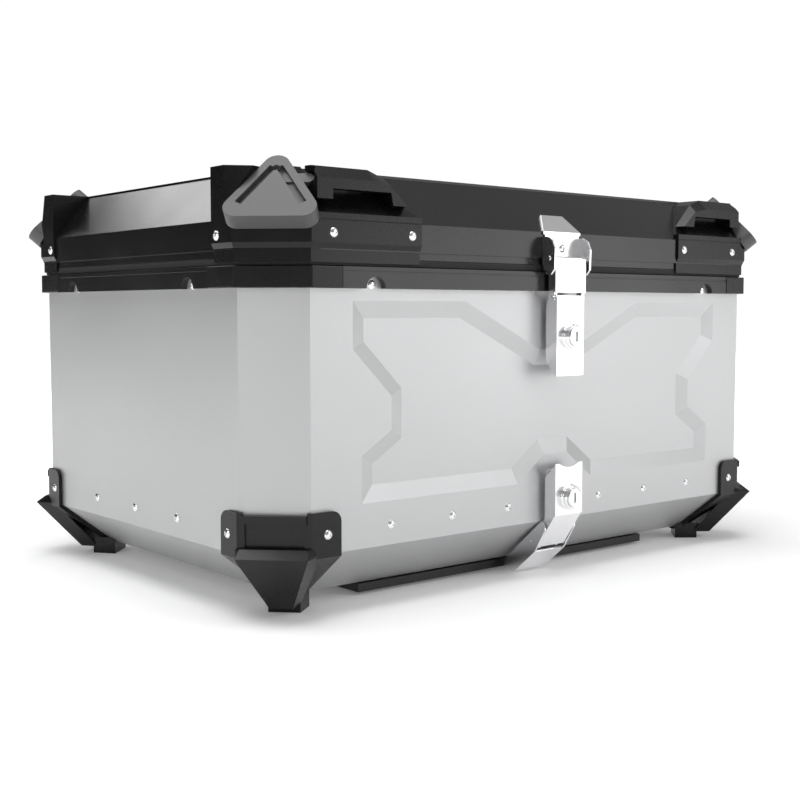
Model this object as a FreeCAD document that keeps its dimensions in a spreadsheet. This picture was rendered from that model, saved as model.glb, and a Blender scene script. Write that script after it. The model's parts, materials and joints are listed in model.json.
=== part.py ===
"""Aluminium motorcycle top case: folded-sheet case, framed lid, two locking latches, base plate.

Millimetres.  +X runs along the long side, the lock side faces -Y, +Z is up.  The origin lies on
the ground under the middle of the case, which stands on the feet of its four corner guards.
"""
import FreeCAD, Part
import math
import os
import re
import Sketcher

Vector = FreeCAD.Vector
Rotation = FreeCAD.Rotation
doc = FreeCAD.newDocument("top_case")

# ------------------------------------------------------------------ driving dimensions
DIMENSIONS = {
    # case shell
    "case_len": 588, "case_dep": 400, "corner_cut": 37.5, "sheet_thk": 1.5,
    "base_z": 11, "fold_z": 50, "bevel_in": 50, "flange_top": 78, "wall_top": 257,
    # pressed relief on the long walls
    "relief_deep": 4, "relief_slope": 13, "relief_top": 236, "relief_wide": 218,
    "notch_half": 20, "notch_z": 196, "notch_shoulder": 105, "shoulder_z": 200,
    "waist_half": 181, "waist_top": 164, "waist_low": 138, "relief_foot": 210,
    "relief_foot_z": 120, "relief_low": 84, "step_out": 45, "step_in": 14, "step_z": 107,
    # frame round the mouth of the case
    "seam_z": 245, "rim_top": 261, "rim_proud": 6, "rail_proud": 5.5, "rim_leg": 3.5,
    "rim_web": 10, "rim_lip": 7, "rim_lip_top": 270, "rim_leg_low": 247,
    "rim_corner_x": 231, "rim_corner_y": 130, "joint_gap": 0.4,
    "rail_groove_z": 256.6, "rail_groove": 1.2, "rail_groove_deep": 0.9,
    "rim_screw_z": 248, "rim_screw_x": 200, "rim_screw_y": 100, "notch_r": 9,
    # lid frame and covers
    "lid_low": 267, "lid_rail_top": 294, "lid_top": 331, "lid_proud": 4, "cover_proud": 6,
    "lid_in": 28, "lid_thk": 2, "lid_ledge": 40, "bead_in": 31, "bead_top": 333,
    "lid_step": 2, "lid_step_z": 272.5, "rail_end_x": 250, "rail_end_y": 155,
    "cover_low": 263.5, "cover_fold": 277.5, "cover_skirt": 0.5, "plate_high": 299,
    "cover_x": 156, "cover_y": 137, "block_x": 250, "block_top": 333, "block_lean": 20,
    "block_turn": 10,
    # carry loop on each corner cover: an apron on the lid's slope, two legs and a bar
    "apron": 2.5, "bar_low": 316.5, "bar_fold": 324, "bar_top": 333, "bar_front": -203.5,
    "bar_crest": -195, "bar_back": -188, "bar_end_x": 184, "bar_bend": 16, "post_x": 238,
    "leg_low": 307, "leg_foot": 19, "leg_back": -170,
    # pressed field of the top panel
    "field_end": 40, "field_half": 215, "field_shoulder": 175, "field_dep": 70,
    "field_waist": 20, "field_high": 2.5, "field_slope": 12,
    # seal
    "seal_out": 1.9, "seal_in": 5.5, "seal_gap": 0.4, "seal_high": 7,
    # corner bumpers on the lid
    "bump_half": 24, "bump_high": 41.6, "bump_round": 9.8, "bump_thk": 13, "bump_tilt": 40,
    "bump_out": 334.7, "bump_z": 302.5, "groove_half": 2.75, "groove_deep": 4,
    "tab_root": 6, "tab_out": 24, "tab_deep": 2.5, "tab_low": 26, "tab_high": 35,
    "bump_clear": 1,
    # corner guards
    "guard_thk": 3.5, "guard_x": 231.5, "guard_y": 142, "guard_top": 82, "guard_toe_z": 6,
    "guard_round": 8, "ledge_z": 56, "ledge_high": 6, "ledge_lean": 8, "ledge_out": 339,
    "ledge_half": 27, "root_half": 33, "root_in": 5, "toe_out": 303, "toe_in": 286,
    "toe_half": 12, "foot_out": 290, "foot_in": 268, "foot_half": 15.5, "foot_taper": 3,
    "lip_half": 26, "lip_high": 6, "lip_out": 6, "lip_drop": 2, "window_half": 22,
    "window_skin": 0.8,
    # latches
    "latch_half": 16.5, "latch_gap": 15, "latch_front": 216, "latch_thk": 1.5,
    "lever_low": 174, "lever_pin_y": -213, "lever_pin_z": 240.5, "lever_swing": 3.3,
    "link_half": 18.5, "link_top": 272, "keeper_half": 22.5, "keeper_pin_y": -212,
    "keeper_pin_z": 272, "cheek_front": -218.5, "cheek_low": 258.5, "cheek_top": 290,
    "flange_run": 12, "flange_top_half": 13, "flange_thk": 1.3, "strike_half": 12,
    "strike_wall": 1.5, "catch_half": 11.5, "ear_thk": 2,
    "upper_lock_z": 207, "lower_lock_z": 71, "lock_r": 11, "plug_r": 8, "pin_r": 2,
    "run_gap": 0.06, "lower_top": 100, "lower_bend": 57, "lower_end_y": -194,
    "lower_end_z": 27, "lower_pin_y": -190.5, "lower_pin_z": 27, "hook_pin_y": -189,
    "hook_pin_z": 32, "hook_half": 18.7, "hook_top_y": -194, "hook_top_z": 22.3,
    "hook_toe_y": -170, "hook_toe_z": 1.8, "hook_lip_y": -158,
    # hinges
    "hinge_y": 212.5, "hinge_z": 264, "hinge_r": 4.5, "hinge_x": 108, "hinge_half": 32,
    # rivets and screws
    "rivet_z": 65.5, "rivet_r": 3.7, "rivet_high": 1.7, "shank_r": 1.6, "shank_len": 3,
    "eye_r": 1.3, "guard_screw_z": 65, "cover_screw_z": 285,
    # base plate and its hooks
    "plate_len": 350, "plate_dep": 300, "plate_low": 2.5, "plate_sheet": 6.5,
    "plate_top": 9.5, "plate_rim": 3, "bolt_x": 160, "bolt_y": 120, "bolt_r": 3.3,
    "slot_x": 230, "slot_len": 30, "tongue_x": 70, "tongue_y": 100, "plate_travel": 20,
}
sheet = doc.addObject("Spreadsheet::Sheet", "Dims")
for row, (alias, size) in enumerate(DIMENSIONS.items(), start=1):
    sheet.set(f"A{row}", alias)
    sheet.set(f"B{row}", str(size))
    sheet.setAlias(f"B{row}", alias)
doc.recompute()

ALIAS = re.compile(r"\b(" + "|".join(DIMENSIONS) + r")\b")
SUB_PARTS = []
# Sub-parts made of several separate pieces; every other one is a single solid.
GROUPS = ("case_rivets", "rim_screws", "guard_screws", "lid_screws", "lower_hook_rivets", "hinge_pins",
          "base_plate_pads")


# ------------------------------------------------------------------ helpers
def linked(text):
    """The expression with each alias pointing at its cell."""
    return ALIAS.sub(r"Dims.\1", str(text))


def value(text):
    """The number an expression gives now."""
    return float(sheet.evalExpression(linked(text)))


def place(obj, x="0", y="0", z="0", rotation=None):
    """Put an object at an expression-bound point, turned by rotation."""
    obj.Placement = FreeCAD.Placement(Vector(value(x), value(y), value(z)), rotation or Rotation())
    for axis, text in (("x", x), ("y", y), ("z", z)):
        obj.setExpression(f"Placement.Base.{axis}", linked(text))
    return obj


def keep(obj, label):
    """Name an object as a sub-part that is written out."""
    obj.Label = label
    SUB_PARTS.append(obj)
    return obj


def box(x_low, x_high, y_low, y_high, z_low, z_high):
    """A block between expression-bound limits."""
    block = doc.addObject("Part::Box", "Block")
    for side, low, high in (("Length", x_low, x_high), ("Width", y_low, y_high), ("Height", z_low, z_high)):
        block.setExpression(side, linked(f"({high})-({low})"))
    return place(block, x_low, y_low, z_low)


TURNS = {"x": Rotation(Vector(0, 1, 0), 90), "y": Rotation(Vector(1, 0, 0), -90), "z": Rotation()}


def rod(axis, radius, length, x, y, z):
    """A cylinder from a point along +axis."""
    cylinder = doc.addObject("Part::Cylinder", "Rod")
    cylinder.setExpression("Radius", linked(radius))
    cylinder.setExpression("Height", linked(length))
    return place(cylinder, x, y, z, TURNS[axis])


def fuse(*shapes):
    joined = doc.addObject("Part::MultiFuse", "Fused")
    joined.Shapes = list(shapes)
    joined.Refine = True
    return joined


def cut(base, *tools):
    """The base with every tool taken out."""
    result = doc.addObject("Part::Cut", "Cut")
    result.Base = base
    result.Tool = tools[0] if len(tools) == 1 else group(tools)
    return result


def common(first, second):
    shared = doc.addObject("Part::Common", "Common")
    shared.Base = first
    shared.Tool = second
    return shared


def group(shapes):
    compound = doc.addObject("Part::Compound", "Group")
    compound.Links = list(shapes)
    return compound


def mirror(source, x=0, y=0):
    """The image of an object in the plane whose normal is (x, y, 0)."""
    image = doc.addObject("Part::Mirroring", "Mirror")
    image.Source = source
    image.Normal = Vector(x, y, 0)
    return image


def sketch_on(body, role, outline, offset="0"):
    """A closed polygon of expression-bound points on one of the body's own planes."""
    plane = next(item for item in body.Origin.OriginFeatures if item.Role == role)
    sketch = body.newObject("Sketcher::SketchObject", "Outline")
    sketch.AttachmentSupport = [(plane, "")]
    sketch.MapMode = "FlatFace"
    sketch.setExpression("AttachmentOffset.Base.z", linked(offset))
    corners = [Vector(value(across), value(up), 0) for across, up in outline]
    for index, corner in enumerate(corners):
        sketch.addGeometry(Part.LineSegment(corner, corners[(index + 1) % len(corners)]), False)
    for index, corner in enumerate(corners):
        following = (index + 1) % len(corners)
        sketch.addConstraint(Sketcher.Constraint("Coincident", index, 2, following, 1))
        across = sketch.addConstraint(Sketcher.Constraint("DistanceX", -1, 1, index, 1, corner.x))
        up = sketch.addConstraint(Sketcher.Constraint("DistanceY", -1, 1, index, 1, corner.y))
        sketch.setExpression(f"Constraints[{across}]", linked(outline[index][0]))
        sketch.setExpression(f"Constraints[{up}]", linked(outline[index][1]))
    return sketch


def add_pad(body, role, outline, offset, length):
    pad = body.newObject("PartDesign::Pad", "Pad")
    pad.Profile = sketch_on(body, role, outline, offset)
    pad.setExpression("Length", linked(length))
    return pad


def add_loft(body, sections, role="XY_Plane"):
    """A ruled loft between parallel outlines, each with its distance along the plane's normal."""
    sketches = [sketch_on(body, role, outline, height) for outline, height in sections]
    loft = body.newObject("PartDesign::AdditiveLoft", "Loft")
    loft.Profile = sketches[0]
    loft.Sections = sketches[1:]
    loft.Ruled = True
    return loft


def new_body():
    return doc.addObject("PartDesign::Body", "Body")


def prism(outline, low, high):
    """A flat-based solid over a plan outline."""
    body = new_body()
    add_pad(body, "XY_Plane", outline, low, f"({high})-({low})")
    return body


def plate_xz(outline, y_low, y_high):
    """A solid over an outline of (x, z) points, from y_low to y_high."""
    body = new_body()
    add_pad(body, "XZ_Plane", outline, f"-({y_high})", f"({y_high})-({y_low})")
    return body


def plate_yz(outline, x_low, x_high):
    """A solid over an outline of (y, z) points, from x_low to x_high."""
    body = new_body()
    add_pad(body, "YZ_Plane", outline, x_low, f"({x_high})-({x_low})")
    return body


def both_sides(outline, inner, outer):
    """The same flat cheek at the left and the right of the middle."""
    return [plate_yz(outline, inner, outer), plate_yz(outline, f"-({outer})", f"-({inner})")]


def octagon(inset):
    """The case's plan outline moved in by inset, with its corners cut at 45 degrees."""
    half_x = f"(case_len/2-({inset}))"
    half_y = f"(case_dep/2-({inset}))"
    leg = f"(corner_cut-(2-sqrt(2))*({inset}))"
    return [
        (half_x, f"-{half_y}+{leg}"), (half_x, f"{half_y}-{leg}"),
        (f"{half_x}-{leg}", half_y), (f"-{half_x}+{leg}", half_y),
        (f"-{half_x}", f"{half_y}-{leg}"), (f"-{half_x}", f"-{half_y}+{leg}"),
        (f"-{half_x}+{leg}", f"-{half_y}"), (f"{half_x}-{leg}", f"-{half_y}"),
    ]


def ring(outer, inner, low, high):
    """An octagonal ring between two insets and two heights."""
    return cut(prism(octagon(outer), low, high), prism(octagon(inner), f"{low}-1", f"{high}+1"))


def corners_of(first, label):
    """The front left piece and its images at the other three corners, in nodes of their own."""
    keep(first, f"{label}_front_left")
    front_right = keep(mirror(first, x=1), f"{label}_front_right")
    keep(mirror(first, y=1), f"{label}_back_left")
    keep(mirror(front_right, y=1), f"{label}_back_right")


# ------------------------------------------------------------------ rivets and screws
def fastener_master(head_r, head_high, shank):
    """A domed head with a blind centre hole, on a plain shank that points along -Z."""
    dome = doc.addObject("Part::Sphere", "Dome")
    dome.setExpression("Radius", linked(f"(({head_r})^2+({head_high})^2)/(2*({head_high}))"))
    place(dome, z=f"({head_high})-(({head_r})^2+({head_high})^2)/(2*({head_high}))")
    head = common(dome, rod("z", f"{head_r}+1", f"({head_high})+1", "0", "0", "0"))
    pin = rod("z", "shank_r", shank, "0", "0", f"-({shank})")
    eye = rod("z", "eye_r", f"{head_high}", "0", "0", f"({head_high})*0.4")
    return cut(fuse(head, pin), eye)


def face_turn(normal):
    return Rotation(Vector(0, 0, 1), Vector(*normal))


def fasteners(master, seats, label):
    """Copies of the master, each seated on a point with its head along a normal."""
    copies = []
    for x, y, z, normal in seats:
        copy = doc.addObject("App::Link", "Copy")
        copy.LinkedObject = master
        place(copy, x, y, z, face_turn(normal))
        copies.append(copy)
    return keep(group(copies), label)


def drills(seats, depth="shank_len+6"):
    """Cylinders that clear the shanks of the fasteners in these seats."""
    tools = []
    for x, y, z, normal in seats:
        bit = doc.addObject("Part::Cylinder", "Drill")
        bit.setExpression("Radius", linked("shank_r+0.05"))
        bit.setExpression("Height", linked(depth))
        start = [f"({text})-({axis})*({depth})/2" for text, axis in zip((x, y, z), normal)]
        place(bit, *start, face_turn(normal))
        tools.append(bit)
    return group(tools)


def mirrored_seats(seats):
    """Each seat and its images left to right and front to back, without repeats."""
    found = {}
    for x, y, z, normal in seats:
        for sx in (1, -1):
            for sy in (1, -1):
                spot = (round(sx * value(x), 3), round(sy * value(y), 3), round(value(z), 3))
                seat = (f"{sx}*({x})", f"{sy}*({y})", z, (sx * normal[0], sy * normal[1], normal[2]))
                found.setdefault(spot, seat)
    return list(found.values())


LONG_WALL = (0, -1, 0)
END_WALL = (-1, 0, 0)
pan_seats = mirrored_seats(
    [(x, "-case_dep/2", "rivet_z", LONG_WALL) for x in ("56", "118", "181")]
    + [("-case_len/2", y, "rivet_z", END_WALL) for y in ("0", "70")]
)
rim_seats = mirrored_seats([
    ("rim_screw_x", "-case_dep/2", "rim_screw_z", LONG_WALL),
    ("-case_len/2", "rim_screw_y", "rim_screw_z", END_WALL),
])
guard_seats = mirrored_seats([
    ("guard_x+12", "-case_dep/2-guard_thk", "guard_screw_z", LONG_WALL),
    ("-case_len/2-guard_thk", "guard_y+9", "guard_screw_z", END_WALL),
])
cover_seats = mirrored_seats([
    ("cover_x+9", "-case_dep/2-cover_proud", "cover_screw_z", LONG_WALL),
    ("block_x-11", "-case_dep/2-cover_proud", "cover_screw_z", LONG_WALL),
    ("-case_len/2-cover_proud", "cover_y+7", "cover_screw_z-2", END_WALL),
])
case_hinge_seats = [
    (f"{side}*hinge_x+{shift}", "case_dep/2+rail_proud+latch_thk", "251", (0, 1, 0))
    for side in (1, -1) for shift in (-20, 20)
]
lid_hinge_seats = [
    (f"{side}*hinge_x+{shift}", "case_dep/2+lid_proud+latch_thk", "280", (0, 1, 0))
    for side in (1, -1) for shift in (-20, 20)
]
keeper_seats = [("0", "-case_dep/2-lid_proud-latch_thk", "281", LONG_WALL)]
latch_seats = [
    ("0", "-case_dep/2-latch_thk", "seam_z-15", LONG_WALL),
    ("0", "-case_dep/2-latch_thk", "notch_z+6", LONG_WALL),
    ("0", "-case_dep/2-latch_thk", "relief_low+3", LONG_WALL),
]

# ------------------------------------------------------------------ folded case shell
RELIEF_HALF = [
    ("notch_half", "notch_z"), ("notch_shoulder", "relief_top"), ("relief_wide", "relief_top"),
    ("relief_wide", "shoulder_z"), ("waist_half", "waist_top"), ("waist_half", "waist_low"),
    ("relief_foot", "relief_foot_z"), ("relief_foot", "relief_low"), ("step_out", "relief_low"),
    ("step_in", "step_z"),
]
RELIEF = RELIEF_HALF + [(f"-{across}", up) for across, up in reversed(RELIEF_HALF)]


def relief_tool(inset):
    """The sloped-wall relief pressed into a long wall, from a plane just outside it."""
    body = new_body()
    tool = add_pad(body, "XZ_Plane", RELIEF, f"case_dep/2-({inset})", "relief_deep")
    tool.Reversed = True
    tool.setExpression("TaperAngle", linked("-atan(relief_slope/relief_deep)"))
    return body


def embossed_form(inset, low, high):
    block = prism(octagon(inset), low, high)
    front = relief_tool(inset)
    return cut(block, front, mirror(front, y=1))


wall_form = cut(embossed_form("0", "fold_z", "wall_top"),
                embossed_form("sheet_thk", "fold_z-1", "wall_top+1"))
wall_drills = drills(pan_seats + rim_seats + guard_seats + latch_seats, "shank_len*2+12")
keep(cut(wall_form, wall_drills), "case_walls")

pan_outer = new_body()
add_loft(pan_outer, [(octagon("bevel_in"), "base_z"), (octagon("0"), "fold_z")])
add_pad(pan_outer, "XY_Plane", octagon("sheet_thk"), "fold_z", "flange_top-fold_z")
pan_inner = new_body()
add_loft(pan_inner, [(octagon("bevel_in+sheet_thk"), "base_z+sheet_thk"),
                     (octagon("2*sheet_thk"), "fold_z")])
add_pad(pan_inner, "XY_Plane", octagon("2*sheet_thk"), "fold_z", "flange_top-fold_z+1")
pan_drills = drills(pan_seats + guard_seats, "shank_len*2+14")
keep(cut(pan_outer, pan_inner, pan_drills), "bottom_pan")

# ------------------------------------------------------------------ frame round the mouth
def rim_ring(proud):
    """The U-shaped frame that grips the wall's edge, with the lip that stands up into the lid."""
    skirt_and_web = fuse(prism(octagon(f"-({proud})"), "seam_z", "rim_top"),
                         prism(octagon("rim_lip"), "rim_top-1", "rim_lip_top"))
    hollow = cut(skirt_and_web, prism(octagon("0"), "seam_z-1", "wall_top"),
                 prism(octagon("rim_web"), "seam_z-2", "rim_lip_top+1"))
    return fuse(hollow, ring("sheet_thk", "rim_leg", "rim_leg_low", "wall_top"))


rail_groove = ring("-rail_proud-1", "rail_groove_deep-rail_proud", "rail_groove_z",
                   "rail_groove_z+rail_groove")
rail_ring = cut(rim_ring("rail_proud"), rail_groove, drills(rim_seats, "shank_len*2+12"),
                drills(case_hinge_seats))
front_notches = group([
    rod("y", "notch_r", "12", x, "-case_dep/2-12", "seam_z") for x in ("rim_screw_x", "-rim_screw_x")
])
side_notches = group([
    rod("x", "notch_r", "12", "-case_len/2-12", y, "seam_z") for y in ("rim_screw_y", "-rim_screw_y")
])
reach = "case_len"
long_zone = box("-rim_corner_x+joint_gap/2", "rim_corner_x-joint_gap/2", f"-{reach}", "0", "0", "400")
end_zone = box(f"-{reach}", "0", "-rim_corner_y+joint_gap/2", "rim_corner_y-joint_gap/2", "0", "400")
rim_front = cut(common(rail_ring, long_zone), front_notches)
rim_left = cut(common(rail_ring, end_zone), side_notches)
keep(rim_front, "rim_rail_front")
back_zone = box("-rim_corner_x+joint_gap/2", "rim_corner_x-joint_gap/2", "0", reach, "0", "400")
keep(cut(common(rail_ring, back_zone), mirror(front_notches, y=1)), "rim_rail_back")
keep(rim_left, "rim_rail_left")
keep(mirror(rim_left, x=1), "rim_rail_right")
corner_zone = box(f"-{reach}", "-rim_corner_x", f"-{reach}", "-rim_corner_y", "0", "400")
corners_of(common(rim_ring("rim_proud"), corner_zone), "rim_corner")
case_screw = fastener_master("rivet_r", "rivet_high", "shank_len")
long_screw = fastener_master("rivet_r", "rivet_high", "shank_len+guard_thk+1")
fasteners(case_screw, pan_seats + latch_seats + case_hinge_seats, "case_rivets")
fasteners(case_screw, rim_seats, "rim_screws")
fasteners(long_screw, guard_seats, "guard_screws")

# ------------------------------------------------------------------ corner guards
shell_outer = new_body()
add_loft(shell_outer, [(octagon("bevel_in-guard_thk/2"), "base_z-guard_thk"),
                       (octagon("-guard_thk"), "fold_z-guard_thk/2")])
add_pad(shell_outer, "XY_Plane", octagon("-guard_thk"), "fold_z-guard_thk/2",
        "guard_top-fold_z+guard_thk/2")
case_form = new_body()
add_loft(case_form, [(octagon("bevel_in"), "base_z"), (octagon("0"), "fold_z")])
add_pad(case_form, "XY_Plane", octagon("0"), "fold_z", "wall_top-fold_z")


def diagonal(along, out):
    """A plan point at the front left corner: along the cut corner, and out from the centre."""
    middle = "(case_len-case_dep)/2"
    return (f"-({middle})/2-(({out})-({along}))/sqrt(2)", f"({middle})/2-(({out})+({along}))/sqrt(2)")


FACET_OUT = "((case_len+case_dep)/2-corner_cut)/sqrt(2)"
ROOT_OUT = f"({FACET_OUT}-root_in)"


def symmetric(inner_half, inner_out, outer_half, outer_out):
    """A plan trapezium across the corner's diagonal."""
    return [
        diagonal(f"-({inner_half})", inner_out), diagonal(inner_half, inner_out),
        diagonal(outer_half, outer_out), diagonal(f"-({outer_half})", outer_out),
    ]


bumper = new_body()
add_loft(bumper, [
    (symmetric("toe_half", "toe_in", "toe_half-3", "toe_out"), "guard_toe_z"),
    (symmetric("root_half", ROOT_OUT, "ledge_half", "ledge_out"), "ledge_z-ledge_high"),
    (symmetric("root_half", ROOT_OUT, "ledge_half-2", "ledge_out-ledge_lean"), "ledge_z"),
])
LIP_LOW = "(guard_top-lip_drop-lip_high)"
top_lip = prism(symmetric("lip_half", ROOT_OUT, "lip_half-2", f"{FACET_OUT}+lip_out"), LIP_LOW,
                "guard_top-lip_drop")
foot = prism(symmetric("foot_half", "foot_in", "foot_half-foot_taper", "foot_out"), "0", "base_z+4")
guard_zone = box(f"-{reach}", "-guard_x", f"-{reach}", "-guard_y", "0", "guard_top")
ears = common(shell_outer, guard_zone)
window = prism(symmetric("window_half", f"{FACET_OUT}+window_skin", "window_half", f"{FACET_OUT}+20"),
               "ledge_z", LIP_LOW)
top_dip = prism(symmetric("lip_half-2", ROOT_OUT, "lip_half-2", f"{FACET_OUT}+20"),
                "guard_top-lip_drop", "guard_top+5")
front_ear_round = cut(
    box("-guard_x-guard_round", "-guard_x+1", "-case_dep/2-10", "-case_dep/2+5", "guard_top-guard_round",
        "guard_top+1"),
    rod("y", "guard_round", "20", "-guard_x-guard_round", "-case_dep/2-12", "guard_top-guard_round"))
end_ear_round = cut(
    box("-case_len/2-10", "-case_len/2+5", "-guard_y-guard_round", "-guard_y+1", "guard_top-guard_round",
        "guard_top+1"),
    rod("x", "guard_round", "20", "-case_len/2-12", "-guard_y-guard_round", "guard_top-guard_round"))
guard = cut(fuse(ears, bumper, top_lip, foot), case_form, window, top_dip, front_ear_round, end_ear_round,
            drills(guard_seats, "shank_len*2+12"))
corners_of(guard, "corner_guard")

# ------------------------------------------------------------------ lid frame
def lid_form(side, low_z, rail_z, top_in, top_z):
    """The lid's outer or inner form: an upright band under a sloping one."""
    body = new_body()
    add_pad(body, "XY_Plane", octagon(side), low_z, f"({rail_z})-({low_z})")
    add_loft(body, [(octagon(side), rail_z), (octagon(top_in), top_z)])
    return body


lid_outer = fuse(lid_form("-lid_proud", "lid_step_z", "lid_rail_top", "lid_in", "lid_top"),
                 prism(octagon("lid_step-lid_proud"), "lid_low", "lid_step_z+1"))
lid_inner = fuse(lid_form("lid_thk-lid_proud", "lid_step_z+lid_thk", "lid_rail_top-lid_thk*0.4",
                          "lid_in+lid_thk*0.6", "lid_top-lid_thk"),
                 prism(octagon("lid_thk+lid_step-lid_proud"), "lid_low-1", "lid_step_z+lid_thk+1"))
lid_hole = prism(octagon("lid_ledge"), "lid_top-10", "lid_top+10")
bead = ring("lid_in", "bead_in", "lid_top", "bead_top")
lid_frame = fuse(cut(lid_outer, lid_inner, lid_hole), bead)
lid_frame = cut(lid_frame, drills(cover_seats, "shank_len*2+12"), drills(keeper_seats),
                drills(lid_hinge_seats))
front_zone = box("-rail_end_x", "rail_end_x", f"-{reach}", "0", "0", "400")
back_lid_zone = box("-rail_end_x", "rail_end_x", "0", reach, "0", "400")
left_zone = box(f"-{reach}", "-rail_end_x", "-rail_end_y", "rail_end_y", "0", "400")
keep(common(lid_frame, front_zone), "lid_rail_front")
keep(common(lid_frame, back_lid_zone), "lid_rail_back")
lid_left = common(lid_frame, left_zone)
keep(lid_left, "lid_rail_left")
keep(mirror(lid_left, x=1), "lid_rail_right")

panel_sheet = new_body()
add_pad(panel_sheet, "XY_Plane", octagon("bead_in+0.2"), "lid_top", "sheet_thk")
FIELD_HALF = [
    ("field_end", "-field_dep"), ("field_shoulder", "-field_dep"), ("field_half", "-field_waist"),
    ("field_half", "field_waist"), ("field_shoulder", "field_dep"), ("field_end", "field_dep"),
]
FIELD = FIELD_HALF + [(f"-{across}", up) for across, up in reversed(FIELD_HALF)]


def field_tool(low):
    """The raised field of the top panel, with sloping sides, from a given height."""
    body = new_body()
    tool = add_pad(body, "XY_Plane", FIELD, low, "field_high")
    tool.setExpression("TaperAngle", linked("-atan(field_slope/field_high)"))
    return body


keep(cut(fuse(panel_sheet, field_tool("lid_top+sheet_thk")), field_tool("lid_top")), "lid_top_panel")

seal_outer = fuse(prism(octagon("-seal_out"), "rim_top+seal_gap", "lid_low"),
                  prism(octagon("lid_thk+lid_step-lid_proud+0.1"), "lid_low-1", "lid_low+seal_high"))
keep(cut(seal_outer, prism(octagon("seal_in"), "rim_top-1", "lid_low+seal_high+1")), "lid_seal")

# ------------------------------------------------------------------ lid corner covers
SKIRT = "cover_skirt-lid_proud"
band = new_body()
add_pad(band, "XY_Plane", octagon(SKIRT), "cover_low", "lid_step_z-cover_low")
add_loft(band, [(octagon(SKIRT), "lid_step_z"), (octagon("-cover_proud"), "cover_fold")])
add_pad(band, "XY_Plane", octagon("-cover_proud"), "cover_fold", "plate_high-cover_fold")
cover_zone = fuse(
    box(f"-{reach}", "-cover_x", f"-{reach}", "-rail_end_y", "0", "400"),
    box(f"-{reach}", "-rail_end_x", f"-{reach}", "-cover_y", "0", "400"),
)
COVER_END = "-case_len/2-cover_proud"
COVER_FRONT = "-case_dep/2-cover_proud"
COVER_CUT = "corner_cut+(2-sqrt(2))*cover_proud"
BLOCK_LOW = [
    (COVER_END, "-cover_y"), (COVER_END, f"{COVER_FRONT}+{COVER_CUT}"),
    (f"{COVER_END}+{COVER_CUT}", COVER_FRONT), ("-block_x", COVER_FRONT), ("-block_x", "-cover_y"),
]
BLOCK_HIGH = [
    (COVER_END, "-cover_y"), (COVER_END, f"{COVER_FRONT}+{COVER_CUT}+block_turn"),
    (f"{COVER_END}+{COVER_CUT}", "-case_dep/2+block_lean"), ("-block_x", "-case_dep/2+block_lean"),
    ("-block_x", "-cover_y"),
]
block = new_body()
add_loft(block, [(BLOCK_LOW, "lid_rail_top"), (BLOCK_HIGH, "block_top")])

# The apron lies on the lid's slope behind the plate; the loop's legs and bar stand on it.
apron_form = new_body()
add_loft(apron_form, [(octagon("-lid_proud-apron"), "lid_rail_top"), (octagon("lid_in-apron"), "lid_top")])
apron_zone = plate_xz([
    ("-block_x-2", "lid_rail_top"), ("-cover_x", "lid_rail_top"), ("-cover_x", "plate_high"),
    ("-bar_end_x+leg_foot", "leg_low"), ("-bar_end_x-2", "bar_top-5"), ("-block_x-2", "bar_top-5"),
], f"-{reach}", "0")
apron = common(apron_form, apron_zone)
bar = plate_yz([
    ("bar_front", "bar_low"), ("bar_front", "bar_fold"), ("bar_crest", "bar_top"), ("bar_back", "bar_top"),
    ("bar_back", "bar_low+4"), ("bar_crest", "bar_low"),
], "-block_x-2", "-bar_end_x-bar_bend")


def leg_between(front, back):
    """A leg of the loop: a flat front face whose outer edge slopes back to a larger outline."""
    leg = new_body()
    add_loft(leg, [(front, "-bar_front"), (back, "-bar_crest")], "XZ_Plane")
    leg.Tip = leg.Group[-1]
    return fuse(leg, plate_xz(back, "bar_crest", "leg_back"))


outer_leg = leg_between(
    [("-bar_end_x-bar_bend", "bar_low"), ("-bar_end_x-bar_bend", "bar_fold"), ("-bar_end_x", "bar_fold-3"),
     ("-bar_end_x+leg_foot-3", "leg_low"), ("-bar_end_x+2", "leg_low"), ("-bar_end_x", "bar_low")],
    [("-bar_end_x-bar_bend", "bar_low"), ("-bar_end_x-bar_bend", "bar_top"), ("-bar_end_x-2", "bar_top-5"),
     ("-bar_end_x+leg_foot", "leg_low"), ("-bar_end_x+2", "leg_low"), ("-bar_end_x", "bar_low")])
inner_leg = plate_xz([
    ("-block_x-2", "leg_low+2"), ("-block_x-2", "bar_low+1"), ("-post_x", "bar_low+1"),
    ("-post_x", "leg_low+2"),
], "bar_front", "leg_back")
closing = common(cut(lid_outer, lid_inner, lid_hole),
                 box(f"-{reach}", "-rail_end_x-joint_gap", f"-{reach}", "-rail_end_y-joint_gap", "0", "400"))
skirt_hollow = prism(octagon("lid_step-lid_proud"), "cover_low-1", "lid_low")
cover_shell = cut(fuse(common(band, cover_zone), block, apron, bar, outer_leg, inner_leg), lid_outer,
                  skirt_hollow, ring("lid_in", "bead_in", "lid_top", "bead_top+0.1"),
                  prism(octagon("bead_in-0.1"), "lid_top-1", "bead_top+1"))


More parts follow.
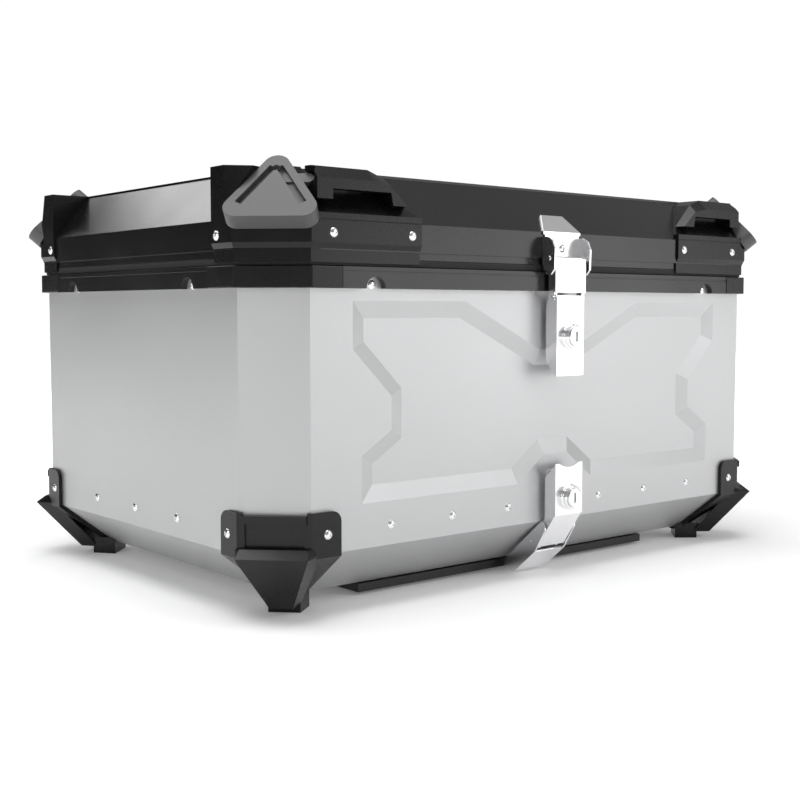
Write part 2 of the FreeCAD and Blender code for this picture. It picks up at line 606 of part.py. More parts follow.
def bumper_slab(extra, front="0"):
    """The rounded triangular bumper, grown by extra: three rollers joined by a flat plate."""
    half, high, roll = "bump_half", "bump_high", f"(bump_round+{extra})"
    back = f"(bump_thk+{extra})"
    rollers = [(f"-{half}", "0"), (half, "0"), ("0", high)]
    side = "sqrt(bump_half^2+bump_high^2)"
    nx, nz = f"(bump_high/{side})", f"(bump_half/{side})"
    hull = [
        (f"-{half}", f"-{roll}"), (half, f"-{roll}"),
        (f"{half}+{roll}*{nx}", f"{roll}*{nz}"), (f"{roll}*{nx}", f"{high}+{roll}*{nz}"),
        (f"-{roll}*{nx}", f"{high}+{roll}*{nz}"), (f"-{half}-{roll}*{nx}", f"{roll}*{nz}"),
    ]
    slab = plate_xz(hull, f"{front}-{extra}", back)
    rounds = [rod("y", roll, f"{back}+{extra}-({front})", x, f"{front}-{extra}", z) for x, z in rollers]
    return fuse(slab, *rounds)


groove_turn = math.degrees(math.atan2(value("bump_high"), value("bump_half")))


def groove(sign):
    """One arm of the recessed chevron in the bumper's face."""
    arm = box("0", "sqrt(bump_half^2+bump_high^2)-6", "-1", "groove_deep", "-groove_half", "groove_half")
    turn = Rotation(Vector(0, 1, 0), -groove_turn)
    place(arm, "-bump_half+3", "-1", "2", turn)
    return arm if sign > 0 else mirror(arm, x=1)


def bumper_form():
    """The slab with its chevron, and the tab that reaches towards the carry bar."""
    tip = rod("y", "groove_half", "groove_deep+1", "0", "-2", "bump_high-3")
    slab = cut(bumper_slab("0"), groove(1), groove(-1), tip)
    tab = box("tab_root", "tab_out", "tab_deep", "bump_thk", "tab_low", "tab_high")
    tab_end = rod("y", "(tab_high-tab_low)/2", "bump_thk-tab_deep", "tab_out", "tab_deep",
                  "(tab_low+tab_high)/2")
    return fuse(slab, tab, tab_end)


def bumper_at_corner(shape):
    """Lean the bumper back and carry it out to the front left corner."""
    lean = Rotation(Vector(1, 0, 0), -value("bump_tilt"))
    face = Rotation(Vector(0, 0, 1), -45)
    holder = group([shape])
    spot = diagonal("0", "bump_out")
    return place(holder, spot[0], spot[1], "bump_z", face * lean)


bumper_solid = cut(bumper_at_corner(bumper_form()), lid_outer, bead)
bumper_pocket = bumper_at_corner(bumper_slab("0.05"))
bumper_room = bumper_at_corner(fuse(
    bumper_slab("0.05", "-60"),
    box("tab_root", "tab_out+(tab_high-tab_low)/2+bump_clear", "-60", "bump_thk+0.05",
        "tab_low-bump_clear", "tab_high+bump_clear"),
))
cover = cut(fuse(cut(cover_shell, bumper_room), closing), bumper_pocket,
            drills(cover_seats, "shank_len*2+12"))
corners_of(cover, "lid_corner")
corners_of(bumper_solid, "lid_bumper")
fasteners(case_screw, cover_seats + keeper_seats + lid_hinge_seats, "lid_screws")

# ------------------------------------------------------------------ upper latch
FRONT = "-latch_front"
INSIDE = "-latch_front+latch_thk"


def pin_between(half, y, z, radius="pin_r"):
    return rod("x", radius, f"2*({half})", f"-({half})", y, z)


LID_FACE = "-case_dep/2-lid_proud"
SLOPE = "((lid_top-lid_rail_top)/(lid_in+lid_proud))"
keeper_plate = box("-keeper_half+2", "keeper_half-2", f"{LID_FACE}-latch_thk", LID_FACE, "rim_top+2",
                   "lid_rail_top")
CHEEK = [
    (f"{LID_FACE}-0.3", "lid_low"), (f"{LID_FACE}-4", "cheek_low+0.5"), ("cheek_front+4.5", "cheek_low"),
    ("cheek_front+0.5", "cheek_low+4.5"), ("cheek_front", "cheek_top-10"),
    ("cheek_front+3", "cheek_top-3"), ("cheek_front+8.5", "cheek_top"), (LID_FACE, "cheek_top"),
]
cheeks = both_sides(CHEEK, "keeper_half-2", "keeper_half")
flange_sheet = plate_yz([
    (f"{LID_FACE}-latch_thk", "lid_rail_top-2"), (LID_FACE, "lid_rail_top"),
    (f"{LID_FACE}+flange_run", f"lid_rail_top+flange_run*{SLOPE}"),
    (f"{LID_FACE}+flange_run-1", f"lid_rail_top+flange_run*{SLOPE}+flange_thk"),
    (f"{LID_FACE}-latch_thk", "lid_rail_top+0.6"),
], "-keeper_half", "keeper_half")
flange_shape = plate_xz([
    ("-keeper_half", "lid_rail_top-2"), ("keeper_half", "lid_rail_top-2"), ("keeper_half", "lid_rail_top+1"),
    ("flange_top_half", f"lid_rail_top+flange_run*{SLOPE}+flange_thk"),
    ("-flange_top_half", f"lid_rail_top+flange_run*{SLOPE}+flange_thk"), ("-keeper_half", "lid_rail_top+1"),
], f"-{reach}", "0")
top_flange = common(flange_sheet, flange_shape)
keeper_bores = pin_between("keeper_half+1", "keeper_pin_y", "keeper_pin_z", "pin_r+run_gap")
keeper_body = cut(fuse(keeper_plate, top_flange, *cheeks), lid_outer, keeper_bores, drills(keeper_seats))
keep(keeper_body, "upper_keeper")
keep(pin_between("keeper_half+0.8", "keeper_pin_y", "keeper_pin_z"), "upper_keeper_pin")

LINK_SIDE = [
    (INSIDE, "lever_pin_z-3"), ("lever_pin_y+3.5", "lever_pin_z-3"), ("lever_pin_y+4.5", "lever_pin_z+4"),
    ("-208", "250"), ("-207.5", "268"), ("keeper_pin_y+3.6", "keeper_pin_z+2"),
    ("keeper_pin_y", "keeper_pin_z+4"), ("keeper_pin_y-3.5", "keeper_pin_z+1"), (INSIDE, "link_top"),
]
link_sides = both_sides(LINK_SIDE, "link_half-latch_thk", "link_half")
link_plate = box("-link_half", "link_half", FRONT, INSIDE, "lever_pin_z+lever_swing", "link_top")
link_bores = [
    pin_between("link_half+1", "keeper_pin_y", "keeper_pin_z", "pin_r+run_gap"),
    pin_between("link_half+1", "lever_pin_y", "lever_pin_z", "pin_r+run_gap"),
]
keep(cut(fuse(link_plate, *link_sides), *link_bores), "upper_link")
keep(pin_between("link_half+0.6", "lever_pin_y", "lever_pin_z", "pin_r*0.6"), "upper_lever_pin")

LEVER_SIDE = [
    (INSIDE, "lever_low"), ("-203.5", "lever_low+14"), ("-203.5", "lever_pin_z-7"),
    ("lever_pin_y+4", "lever_pin_z+3"), (INSIDE, "lever_pin_z+3"),
]
lever_sides = both_sides(LEVER_SIDE, "latch_gap", "latch_half")
lever_plate = box("-latch_half", "latch_half", FRONT, INSIDE, "lever_low", "lever_pin_z+0.8")


def lock_hole(z):
    return rod("y", "plug_r+1.5", "20", "0", "-latch_front-8", z)


upper_lever = cut(fuse(lever_plate, *lever_sides), lock_hole("upper_lock_z"),
                  pin_between("latch_half+1", "lever_pin_y", "lever_pin_z", "pin_r*0.6+run_gap"))
keep(upper_lever, "upper_lever")


def lock_pieces(z, name):
    """Lock housing on the lever, the key plug that turns in it, and the cam behind."""
    head = rod("y", "lock_r", "6", "0", "-latch_front-6", z)
    sleeve = rod("y", "plug_r+1.45", "4.5", "0", "-latch_front-0.5", z)
    bore = rod("y", "plug_r+run_gap", "20", "0", "-latch_front-10", z)
    keep(cut(fuse(head, sleeve), bore), f"{name}_lock_housing")
    plug = rod("y", "plug_r", "11.5", "0", "-latch_front-7.5", z)
    key_slot = box("-0.8", "0.8", "-latch_front-8", "-latch_front-3", f"{z}-4.2", f"{z}+4.2")
    keep(cut(plug, key_slot), f"{name}_lock_plug")
    arm = box("-4", "4", "-latch_front+4", "-latch_front+6", f"{z}-4", f"{z}+12")
    keep(arm, f"{name}_lock_cam")


lock_pieces("upper_lock_z", "upper")
upper_strike = fuse(
    box("-strike_half", "strike_half", "-case_dep/2-latch_thk", "-case_dep/2", "notch_z+1", "seam_z-4"),
    *both_sides([("-case_dep/2-latch_thk+0.5", "upper_lock_z+5"), ("-case_dep/2-8", "upper_lock_z+7"),
                 ("-case_dep/2-8", "upper_lock_z+15"), ("-case_dep/2-latch_thk+0.5", "upper_lock_z+17")],
                "strike_half-strike_wall", "strike_half"))
keep(cut(upper_strike, drills(latch_seats)), "upper_strike_plate")

# ------------------------------------------------------------------ lower latch
LOWER_SIDE = [
    (INSIDE, "lower_top-2"), ("-204", "lower_top-12"), ("-204", "lower_bend-5"),
    ("lower_pin_y+3", "lower_pin_z+8"), ("lower_pin_y+3", "lower_pin_z-1.5"),
    ("lower_pin_y-0.5", "lower_pin_z-3.2"), ("lower_end_y-0.5", "lower_end_z+1.2"),
    ("-latch_front+1.2", "lower_bend"),
]
lower_sides = both_sides(LOWER_SIDE, "latch_gap", "latch_half")
lower_front = box("-latch_half", "latch_half", FRONT, INSIDE, "lower_bend-1", "lower_top")
lower_slope = plate_yz([
    (FRONT, "lower_bend"), ("lower_end_y-1.2", "lower_end_z-0.5"), ("lower_end_y+0.3", "lower_end_z+0.4"),
    (INSIDE, "lower_bend+0.6")], "-latch_half", "latch_half")
lower_bores = [
    pin_between("latch_half+1", "lower_pin_y", "lower_pin_z", "pin_r*0.75+run_gap"),
    pin_between("latch_half+1", "hook_pin_y", "hook_pin_z", "pin_r*0.6+run_gap"),
]
top_dish = rod("y", "22", "12", "0", "-latch_front-4", "lower_top+18.5")
lower_lever = cut(fuse(lower_front, lower_slope, *lower_sides), lock_hole("lower_lock_z"), top_dish,
                  *lower_bores)
keep(lower_lever, "lower_lever")
lock_pieces("lower_lock_z", "lower")

HOOK_SIDE = [
    ("-201.8", "50"), ("-205.5", "47.5"), ("-206.5", "43"), ("hook_top_y", "hook_top_z"),
    ("hook_toe_y", "hook_toe_z"), ("hook_lip_y", "hook_toe_z"), ("hook_lip_y+0.5", "hook_toe_z+8.7"),
]
hook_sides = both_sides(HOOK_SIDE, "hook_half-latch_thk", "hook_half")
hook_plate = plate_yz([
    ("hook_top_y", "hook_top_z"), ("hook_toe_y", "hook_toe_z"), ("hook_lip_y+0.5", "hook_toe_z"),
    ("hook_lip_y+0.5", "hook_toe_z+1.8"), ("hook_toe_y+0.8", "hook_toe_z+1.8"),
    ("hook_top_y+1", "hook_top_z+1.2"),
], "-hook_half", "hook_half")
hook_bores = pin_between("hook_half+1", "hook_pin_y", "hook_pin_z", "pin_r*0.6+run_gap")
keep(cut(fuse(hook_plate, *hook_sides), hook_bores), "lower_hook")
hook_stubs = group([
    rod("x", "pin_r*0.6", "hook_half-latch_gap+0.6", "latch_gap", "hook_pin_y", "hook_pin_z"),
    rod("x", "pin_r*0.6", "hook_half-latch_gap+0.6", "-hook_half-0.6", "hook_pin_y", "hook_pin_z"),
])
keep(hook_stubs, "lower_hook_rivets")

EAR = [
    ("-199", "48.2"), ("lower_pin_y-2.9", "lower_pin_z+1"), ("lower_pin_y-1.6", "lower_pin_z-2.5"),
    ("lower_pin_y+2.6", "lower_pin_z-2.6"), ("-172", "27"),
]
lower_ears = both_sides(EAR, "catch_half-ear_thk", "catch_half")
bevel_plate = plate_yz([("-case_dep/2", "fold_z"), ("-case_dep/2-latch_thk", "fold_z"),
                        ("-case_dep/2-latch_thk", "fold_z-2.5"), ("-171", "24.4"), ("-168", "25")],
                       "-catch_half", "catch_half")
lower_catch = box("-catch_half", "catch_half", "-case_dep/2-latch_thk", "-case_dep/2", "fold_z",
                  "relief_low+9")
lower_base = cut(fuse(bevel_plate, lower_catch, *lower_ears), case_form,
                 pin_between("13", "lower_pin_y", "lower_pin_z", "pin_r*0.75+run_gap"),
                 drills(latch_seats))
keep(lower_base, "lower_latch_base")
keep(pin_between("latch_half-0.1", "lower_pin_y", "lower_pin_z", "pin_r*0.75"), "lower_lever_pin")

# ------------------------------------------------------------------ rear hinges
LEAF_STEP = "case_dep/2+rail_proud"
LID_STEP = "case_dep/2+lid_proud"
knuckle_gap = "0.2"


def knuckle(low, high):
    """A hinge barrel round the pin between two places along X."""
    return rod("x", "hinge_r", f"({high})-({low})", low, "hinge_y", "hinge_z")


def hinge_at(side, name):
    """Case leaf, lid leaf and pin of one hinge."""
    middle = f"{side}*hinge_x"
    low, high = f"{middle}-hinge_half", f"{middle}+hinge_half"
    third = "hinge_half/3"
    bore = rod("x", "pin_r+run_gap", "2*hinge_half+2", f"{low}-1", "hinge_y", "hinge_z")
    case_leaf = box(low, high, LEAF_STEP, f"{LEAF_STEP}+latch_thk", "seam_z+1", "rim_top-1")
    case_webs = []
    lid_relief = box(f"{middle}-{third}-{knuckle_gap}", f"{middle}+{third}+{knuckle_gap}",
                     f"{LEAF_STEP}-1", "hinge_y+hinge_r+1", "hinge_z-hinge_r-0.4", "hinge_z+hinge_r+1")
    for start, end in ((low, f"{middle}-{third}-{knuckle_gap}"), (f"{middle}+{third}+{knuckle_gap}", high)):
        case_webs.append(knuckle(start, end))
        case_webs.append(plate_yz([(LEAF_STEP, "rim_top-4"), ("hinge_y+1", "hinge_z-hinge_r+0.3"),
                                   ("hinge_y-1", "hinge_z-2"), (LEAF_STEP, "rim_top-1")], start, end))
    keep(cut(fuse(case_leaf, *case_webs), lid_relief, bore, drills(case_hinge_seats)),
         f"hinge_case_leaf_{name}")
    lid_leaf = box(low, high, LID_STEP, f"{LID_STEP}+latch_thk", "lid_low+1.5", "lid_rail_top-2")
    lid_web = plate_yz([(f"{LID_STEP}+0.2", "hinge_z+4"), ("hinge_y-1", "hinge_z+1"),
                        ("hinge_y+1", "hinge_z+hinge_r-0.3"), (f"{LID_STEP}+0.2", "hinge_z+9")],
                       f"{middle}-{third}", f"{middle}+{third}")
    lid_knuckle = knuckle(f"{middle}-{third}", f"{middle}+{third}")
    keep(cut(fuse(lid_leaf, lid_web, lid_knuckle), bore, drills(lid_hinge_seats)),
         f"hinge_lid_leaf_{name}")
    return rod("x", "pin_r", "2*hinge_half+1.6", f"{low}-0.8", "hinge_y", "hinge_z")


pins = [hinge_at("-1", "left"), hinge_at("1", "right")]
keep(group(pins), "hinge_pins")

# ------------------------------------------------------------------ base plate
tray = box("-plate_len/2", "plate_len/2", "-plate_dep/2", "plate_dep/2", "plate_low", "plate_top")
tray_hollow = box("-plate_len/2+plate_rim", "plate_len/2-plate_rim", "-plate_dep/2+plate_rim",
                  "plate_dep/2-plate_rim", "plate_low-1", "plate_sheet")
bolt_holes = [
    rod("z", "bolt_r", "20", f"{sx}*bolt_x/2", f"{sy}*bolt_y/2", "0") for sx in (1, -1) for sy in (1, -1)
]


def slot_tool(x, y):
    """A slot along X with round ends."""
    half = "(slot_len/2-bolt_r)"
    middle = box(f"{x}-{half}", f"{x}+{half}", f"{y}-bolt_r", f"{y}+bolt_r", "0", "20")
    ends = [rod("z", "bolt_r", "20", f"{x}+{sign}*{half}", y, "0") for sign in (1, -1)]
    return fuse(middle, *ends)


slots = [slot_tool(f"{sx}*slot_x/2", f"{sy}*bolt_y/2") for sx in (1, -1) for sy in (1, -1)]
TONGUES = ("-tongue_x", "tongue_x")
windows = [
    box(f"{x}-14", f"{x}+14", "tongue_y-plate_travel-6", "tongue_y+3.6", "0", "20") for x in TONGUES
]
keep(cut(tray, tray_hollow, *bolt_holes, *slots, *windows), "base_plate")
pads = [
    rod("z", "9", "1.2", f"{sx}*(plate_len/2-22)", f"{sy}*(plate_dep/2-20)", "plate_top")
    for sx in (1, -1) for sy in (1, -1)
]
keep(group(pads), "base_plate_pads")
for x, name in zip(TONGUES, ("left", "right")):
    tongue = plate_yz([
        ("tongue_y-18", "base_z"), ("tongue_y-18", "base_z-1.2"), ("tongue_y", "base_z-1.2"),
        ("tongue_y", "plate_low+1"), ("tongue_y+16", "plate_low+1"), ("tongue_y+16", "plate_low+3"),
        ("tongue_y+2.6", "plate_low+3"), ("tongue_y+2.6", "base_z"),
    ], f"{x}-12", f"{x}+12")
    keep(tongue, f"case_tongue_{name}")

# ------------------------------------------------------------------ check and write
doc.recompute()
for item in doc.Objects:
    if any(word in item.State for word in ("Invalid", "Error")):
        raise RuntimeError(f"{item.Label} ({item.Name}) failed: {item.State}")
os.makedirs("parts", exist_ok=True)
for item in SUB_PARTS:
    shape = item.Shape
    if shape.isNull() or not shape.isValid() or not shape.Solids:
        raise RuntimeError(f"{item.Label} has no valid solid")
    if len(shape.Solids) > 1 and item.Label not in GROUPS:
        raise RuntimeError(f"{item.Label} fell apart into {len(shape.Solids)} solids")
    shape.exportStep(f"parts/{item.Label}.step")
    print(f"{item.Label}: {len(shape.Solids)} solid(s), {shape.Volume / 1000:.2f} cm3")
print(len(SUB_PARTS), "sub-parts")
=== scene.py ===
"""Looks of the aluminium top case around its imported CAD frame.

Metres, in the CAD's own frame: +X runs along the long side, the lock side faces -Y, +Z is up.
"""
import json
import math

import bmesh
import bpy
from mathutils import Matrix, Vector


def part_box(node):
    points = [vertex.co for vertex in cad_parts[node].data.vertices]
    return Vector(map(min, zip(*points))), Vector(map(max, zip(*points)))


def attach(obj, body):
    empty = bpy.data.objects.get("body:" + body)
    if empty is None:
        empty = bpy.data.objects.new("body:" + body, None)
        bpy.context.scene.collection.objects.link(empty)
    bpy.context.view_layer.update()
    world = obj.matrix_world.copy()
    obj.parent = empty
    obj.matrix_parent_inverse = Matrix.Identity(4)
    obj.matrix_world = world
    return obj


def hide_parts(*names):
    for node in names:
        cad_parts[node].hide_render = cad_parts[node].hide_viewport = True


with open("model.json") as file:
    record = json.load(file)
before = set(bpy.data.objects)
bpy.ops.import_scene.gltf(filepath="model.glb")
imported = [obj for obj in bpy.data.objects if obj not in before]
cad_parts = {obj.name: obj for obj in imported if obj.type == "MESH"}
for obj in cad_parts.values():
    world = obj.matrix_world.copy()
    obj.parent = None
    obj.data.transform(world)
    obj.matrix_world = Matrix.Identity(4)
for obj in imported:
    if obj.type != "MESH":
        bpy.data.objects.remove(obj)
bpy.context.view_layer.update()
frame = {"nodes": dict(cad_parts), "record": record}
nodes = frame["nodes"]
slot_of = {part["node"]: part["material_slot"] for part in frame["record"]["subparts"]}
scene = bpy.context.scene
scene.view_settings.view_transform = "Standard"
MM = 0.001

# ------------------------------------------------------------------ camera, floor and light
VIEW_AZIMUTH, VIEW_ELEVATION = math.radians(-39.55), math.radians(4.17)
VIEW_TARGET = Vector((-0.0076, 0, 0.1416))
VIEW_DISTANCE = 1.1975
VIEW_LENS = 55.15

WHITE = (1, 1, 1, 1)
FLOOR_RADIUS, FLOOR_SIDES = 6.0, 96
FLOOR_COLOUR = (0.95, 0.95, 0.95, 1)
# The floor glows as painted light, weakest under the case and growing outwards, so its edge meets the
# backdrop.
GLOW_START, GLOW_END = 0.45, 1.7
GLOW_LOW, GLOW_HIGH = 0.12, 0.95

BACKDROP = 1.02
WORLD_LOW, WORLD_HIGH = 0.05, 0.45
WORLD_TOWARDS = Vector((0.62, -0.45, 0.55)).normalized()

MIDDLE = (0, 0, 0.17)
# Name, place, aim, size and radiance of each soft light.
SOFTBOXES = [
    ("key", (1.25, -1.85, 1.25), MIDDLE, (1.1, 0.9), 3.1),
    ("low_key", (1.45, -1.75, 0.33), MIDDLE, (1.1, 0.5), 1.9),
    ("top", (-0.35, 0.0, 2.3), MIDDLE, (2.2, 2.2), 3.2),
    ("back", (-0.5, 2.4, 2.1), (0, 0, 0.3), (1.8, 0.9), 3.2),
    ("left", (-2.3, -0.5, 0.9), MIDDLE, (1.1, 0.9), 3.0),
]


def add_camera():
    """A view of the lock side and the left end, from a little above the case's middle."""
    back = Vector((
        math.sin(VIEW_AZIMUTH) * math.cos(VIEW_ELEVATION),
        -math.cos(VIEW_AZIMUTH) * math.cos(VIEW_ELEVATION),
        math.sin(VIEW_ELEVATION),
    ))
    data = bpy.data.cameras.new("view")
    data.lens = VIEW_LENS
    camera = bpy.data.objects.new("view", data)
    camera.location = VIEW_TARGET + back * VIEW_DISTANCE
    camera.rotation_mode = "QUATERNION"
    camera.rotation_quaternion = (-back).to_track_quat("-Z", "Y")
    scene.collection.objects.link(camera)
    scene.camera = camera


def add_softbox(name, place, aim, size, radiance):
    """A rectangular area light at a place, facing a point, with an even radiance."""
    data = bpy.data.lights.new(name, "AREA")
    data.shape = "RECTANGLE"
    data.size, data.size_y = size
    data.energy = radiance * math.pi * size[0] * size[1]
    light = bpy.data.objects.new(name, data)
    light.location = place
    light.rotation_mode = "QUATERNION"
    light.rotation_quaternion = (Vector(aim) - Vector(place)).to_track_quat("-Z", "Y")
    scene.collection.objects.link(light)


def mapped(tree, source, from_range, to_range):
    """A value carried from one range to another."""
    level = tree.nodes.new("ShaderNodeMapRange")
    level.inputs["From Min"].default_value, level.inputs["From Max"].default_value = from_range
    level.inputs["To Min"].default_value, level.inputs["To Max"].default_value = to_range
    tree.links.new(source, level.inputs["Value"])
    return level


def add_floor():
    """A pale round floor, wide enough to run out of the view on every side."""
    mesh = bpy.data.meshes.new("floor")
    points = []
    for step in range(FLOOR_SIDES):
        turn = math.tau * step / FLOOR_SIDES
        points.append((FLOOR_RADIUS * math.cos(turn), FLOOR_RADIUS * math.sin(turn), 0))
    mesh.from_pydata(points, [], [tuple(range(FLOOR_SIDES))])
    floor = bpy.data.objects.new("floor", mesh)
    scene.collection.objects.link(floor)
    paint = bpy.data.materials.new("floor_paint")
    paint.use_nodes = True
    tree = paint.node_tree
    shader = tree.nodes["Principled BSDF"]
    shader.inputs["Base Color"].default_value = FLOOR_COLOUR
    shader.inputs["Roughness"].default_value = 0.8
    shader.inputs["Specular IOR Level"].default_value = 0.1
    shader.inputs["Emission Color"].default_value = WHITE
    place = tree.nodes.new("ShaderNodeTexCoord")
    reach = tree.nodes.new("ShaderNodeVectorMath")
    reach.operation = "LENGTH"
    tree.links.new(place.outputs["Object"], reach.inputs[0])
    # Painted light: the floor glows, weakest under the case and strongest far from it.
    glow = mapped(tree, reach.outputs["Value"], (GLOW_START, GLOW_END), (GLOW_LOW, GLOW_HIGH))
    glow.interpolation_type = "SMOOTHSTEP"
    tree.links.new(glow.outputs["Result"], shader.inputs["Emission Strength"])
    mesh.materials.append(paint)


def add_world():
    """A white backdrop whose light is strongest from the lock side's right and from above."""
    world = bpy.data.worlds.new("studio")
    world.use_nodes = True
    tree = world.node_tree
    soft = tree.nodes["Background"]
    soft.inputs["Color"].default_value = WHITE
    white = tree.nodes.new("ShaderNodeBackground")
    white.inputs["Color"].default_value = WHITE
    white.inputs["Strength"].default_value = BACKDROP
    place = tree.nodes.new("ShaderNodeTexCoord")
    facing = tree.nodes.new("ShaderNodeVectorMath")
    facing.operation = "DOT_PRODUCT"
    facing.inputs[1].default_value = WORLD_TOWARDS
    tree.links.new(place.outputs["Generated"], facing.inputs[0])
    level = mapped(tree, facing.outputs["Value"], (-0.5, 1), (WORLD_LOW, WORLD_HIGH))
    tree.links.new(level.outputs["Result"], soft.inputs["Strength"])
    ray = tree.nodes.new("ShaderNodeLightPath")
    mix = tree.nodes.new("ShaderNodeMixShader")
    tree.links.new(ray.outputs["Is Camera Ray"], mix.inputs["Fac"])
    tree.links.new(soft.outputs["Background"], mix.inputs[1])
    tree.links.new(white.outputs["Background"], mix.inputs[2])
    tree.links.new(mix.outputs["Shader"], tree.nodes["World Output"].inputs["Surface"])
    scene.world = world


add_camera()
add_floor()
add_world()
for softbox in SOFTBOXES:
    add_softbox(*softbox)


# ------------------------------------------------------------------ materials
def tint(colour, factor):
    """A colour made darker or lighter, with full opacity."""
    return tuple(min(1, part * factor) for part in colour) + (1,)


def finish_material(slot, colour, metallic, roughness, grain, bump, spread=0.10, blotch=9.0,
                    rough_spread=0.08, specular=0.5):
    """A procedural finish: fine stretched grain in bump and roughness, and slow colour drift.

    grain is the fine noise's cycles per metre along X, Y and Z, and bump is its depth in metres.
    blotch is the slow noise's cycles per metre, and spread is how far it moves the colour.
    """
    made = bpy.data.materials.new(slot)
    made.use_nodes = True
    tree = made.node_tree
    shader = tree.nodes["Principled BSDF"]
    shader.inputs["Metallic"].default_value = metallic
    shader.inputs["Specular IOR Level"].default_value = specular
    place = tree.nodes.new("ShaderNodeTexCoord")

    def noise(scale, detail):
        """Noise over the piece's own coordinates, stretched along its axes."""
        stretch = tree.nodes.new("ShaderNodeMapping")
        stretch.inputs["Scale"].default_value = scale
        tree.links.new(place.outputs["Object"], stretch.inputs["Vector"])
        texture = tree.nodes.new("ShaderNodeTexNoise")
        texture.inputs["Scale"].default_value = 1
        texture.inputs["Detail"].default_value = detail
        tree.links.new(stretch.outputs["Vector"], texture.inputs["Vector"])
        return texture.outputs["Fac"]

    fine = noise(grain, 4)
    slow = noise((blotch, blotch, blotch), 3)
    ramp = tree.nodes.new("ShaderNodeValToRGB")
    ramp.color_ramp.elements[0].position = 0.3
    ramp.color_ramp.elements[1].position = 0.7
    ramp.color_ramp.elements[0].color = tint(colour, 1 - spread)
    ramp.color_ramp.elements[1].color = tint(colour, 1 + spread)
    tree.links.new(slow, ramp.inputs["Fac"])
    tree.links.new(ramp.outputs["Color"], shader.inputs["Base Color"])
    both = tree.nodes.new("ShaderNodeMath")
    both.operation = "ADD"
    tree.links.new(fine, both.inputs[0])
    tree.links.new(slow, both.inputs[1])
    rough = mapped(tree, both.outputs["Value"], (0.6, 1.4),
                   (roughness - rough_spread, roughness + rough_spread))
    tree.links.new(rough.outputs["Result"], shader.inputs["Roughness"])
    relief = tree.nodes.new("ShaderNodeBump")
    relief.inputs["Strength"].default_value = 0.5
    relief.inputs["Distance"].default_value = bump
    tree.links.new(fine, relief.inputs["Height"])
    tree.links.new(relief.outputs["Normal"], shader.inputs["Normal"])
    return made


# Colour, metallic, roughness, grain and bump of each finish, and what differs from the usual.
FINISHES = {
    "sheet_aluminium": ((0.50, 0.503, 0.508), 0.72, 0.42, (60, 60, 2600), 0.00004,
                        {"spread": 0.02, "blotch": 5}),
    "black_rail": ((0.005, 0.005, 0.0055), 0.0, 0.23, (1800, 1800, 1800), 0.00004, {"spread": 0.2}),
    "black_plastic": ((0.004, 0.004, 0.0044), 0.0, 0.27, (1400, 1400, 1400), 0.00008,
                      {"spread": 0.2, "specular": 0.33}),
    "bumper_plastic": ((0.075, 0.075, 0.078), 0.0, 0.42, (1500, 1500, 1500), 0.00006,
                       {"spread": 0.12}),
    "seal_rubber": ((0.012, 0.012, 0.012), 0.0, 0.75, (900, 900, 900), 0.00008, {"spread": 0.2}),
    "plate_plastic": ((0.015, 0.015, 0.016), 0.0, 0.5, (1200, 1200, 1200), 0.0001, {"spread": 0.2}),
    "hinge_steel": ((0.6, 0.6, 0.61), 1.0, 0.34, (80, 1500, 1500), 0.00003, {"spread": 0.05}),
    "lock_metal": ((0.85, 0.85, 0.86), 1.0, 0.14, (500, 500, 500), 0.00001,
                   {"spread": 0.03, "rough_spread": 0.04}),
    "fastener_steel": ((0.86, 0.86, 0.87), 1.0, 0.24, (1200, 1200, 1200), 0.00003,
                       {"spread": 0.05, "rough_spread": 0.06}),
    "latch_steel": ((0.90, 0.90, 0.91), 1.0, 0.24, (70, 70, 1800), 0.000015,
                    {"spread": 0.02, "rough_spread": 0.05}),
}
MATERIALS = {}
for slot, (*finish, changes) in FINISHES.items():
    MATERIALS[slot] = finish_material(slot, *finish, **changes)

# ------------------------------------------------------------------ rounded edges
# Edge rounding in millimetres, by what the piece is made of.
ROUNDING = {
    "sheet_aluminium": 0.5, "black_rail": 0.8, "black_plastic": 1.1, "bumper_plastic": 1.0,
    "seal_rubber": 0.5, "plate_plastic": 0.8, "hinge_steel": 0.35, "lock_metal": 0.4,
    "fastener_steel": 0.15, "latch_steel": 0.5,
}
EDGE_ANGLE = 28
# The pressed relief has slopes of about seventeen degrees, so its folds are rounded from a lower angle.
PRESSED_ROUND, PRESSED_ANGLE = 1.2, 8


def round_edges(piece, width, angle=EDGE_ANGLE):
    """Weld, bevel and smooth a piece without touching its mesh data.

    width is in millimetres, and edges sharper than angle, in degrees, are rounded.
    """
    weld = piece.modifiers.new("weld", "WELD")
    weld.merge_threshold = 0.01 * MM
    flatten = piece.modifiers.new("flatten", "DECIMATE")
    flatten.decimate_type = "DISSOLVE"
    flatten.angle_limit = math.radians(0.4)
    bevel = piece.modifiers.new("rounding", "BEVEL")
    bevel.width = width * MM
    bevel.segments = 3
    bevel.limit_method = "ANGLE"
    bevel.angle_limit = math.radians(angle)
    bevel.use_clamp_overlap = True
    bevel.harden_normals = False
    normals = piece.modifiers.new("normals", "WEIGHTED_NORMAL")
    normals.keep_sharp = True


for name, piece in nodes.items():
    piece.data.materials.clear()
    piece.data.materials.append(MATERIALS[slot_of[name]])
    if name == "case_walls":
        round_edges(piece, PRESSED_ROUND, PRESSED_ANGLE)
    else:
        round_edges(piece, ROUNDING[slot_of[name]])


# ------------------------------------------------------------------ lock collars
COLLAR_STEPS = 72
COLLAR_SEAT = 6.0
COLLAR_WALL = 1.3
PLUG_GAP = 0.06
COLLAR_ROUND = 0.15


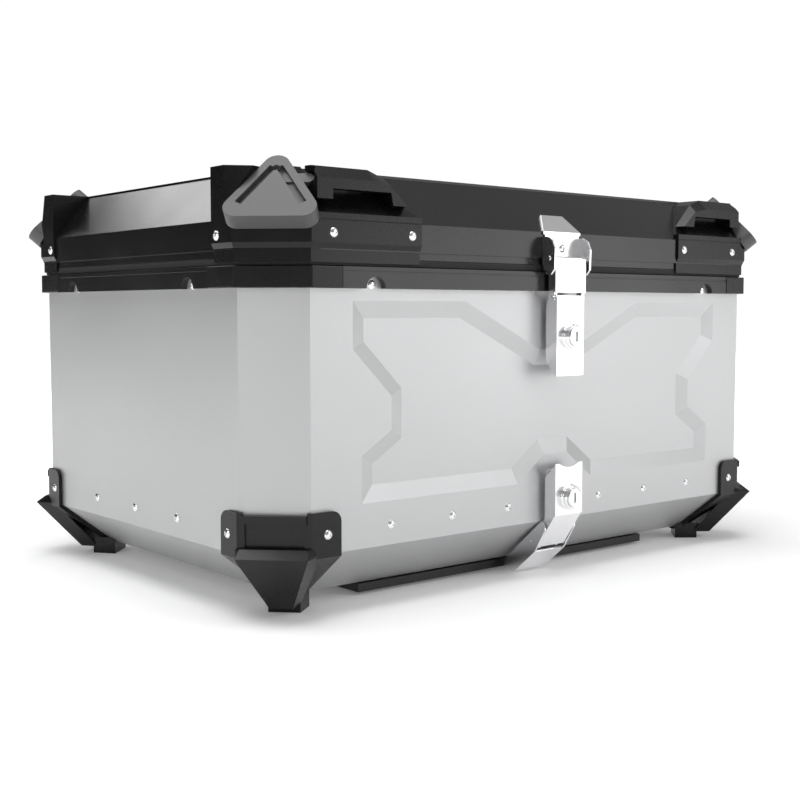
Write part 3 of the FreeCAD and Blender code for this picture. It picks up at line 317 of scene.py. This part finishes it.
def lathe(name, profile, centre, steps=COLLAR_STEPS):
    """A closed ring turned about an axis along Y; profile points are (radius, y) in a loop."""
    shape = bmesh.new()
    rings = []
    for radius, along in profile:
        rings.append([
            shape.verts.new((
                centre.x + radius * math.cos(math.tau * step / steps),
                along,
                centre.z + radius * math.sin(math.tau * step / steps),
            ))
            for step in range(steps)
        ])
    for index, first in enumerate(rings):
        second = rings[(index + 1) % len(rings)]
        for step in range(steps):
            after = (step + 1) % steps
            shape.faces.new((first[step], first[after], second[after], second[step]))
    bmesh.ops.recalc_face_normals(shape, faces=shape.faces)
    mesh = bpy.data.meshes.new(name)
    shape.to_mesh(mesh)
    shape.free()
    for face in mesh.polygons:
        face.use_smooth = True
    piece = bpy.data.objects.new(name, mesh)
    scene.collection.objects.link(piece)
    return piece


def build_lock(level):
    """The collar of a lock: a chamfered rim, a groove below it, a flange and a sleeve."""
    node = f"{level}_lock_housing"
    low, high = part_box(node)
    centre = (low + high) / 2
    outer, front, back = (high.x - low.x) / 2, low.y, high.y
    plug_low, plug_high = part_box(f"{level}_lock_plug")
    bore = (plug_high.x - plug_low.x) / 2 + PLUG_GAP * MM
    seat = front + COLLAR_SEAT * MM
    sleeve = bore + COLLAR_WALL * MM
    # Millimetres in from the outer radius and back from the front face.
    outside = [
        (1.9, 0), (0.9, 0.7), (0.9, 2.6), (1.5, 3.0), (1.5, 3.7), (0.3, 4.1), (0, 4.6),
        (0, COLLAR_SEAT - 0.3), (0.3, COLLAR_SEAT),
    ]
    profile = [(bore, front + 0.5 * MM), (bore + 0.5 * MM, front)]
    profile += [(outer - inward * MM, front + behind * MM) for inward, behind in outside]
    profile += [(sleeve, seat), (sleeve, back), (bore, back)]
    collar = lathe(f"{level}_lock_collar", profile, centre)
    collar.data.materials.append(MATERIALS["lock_metal"])
    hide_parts(node)
    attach(collar, f"{level}_lever")
    edges = collar.modifiers.new("rounding", "BEVEL")
    edges.width = COLLAR_ROUND * MM
    edges.segments = 2
    edges.limit_method = "ANGLE"
    edges.angle_limit = math.radians(30)


for level in ("upper", "lower"):
    build_lock(level)
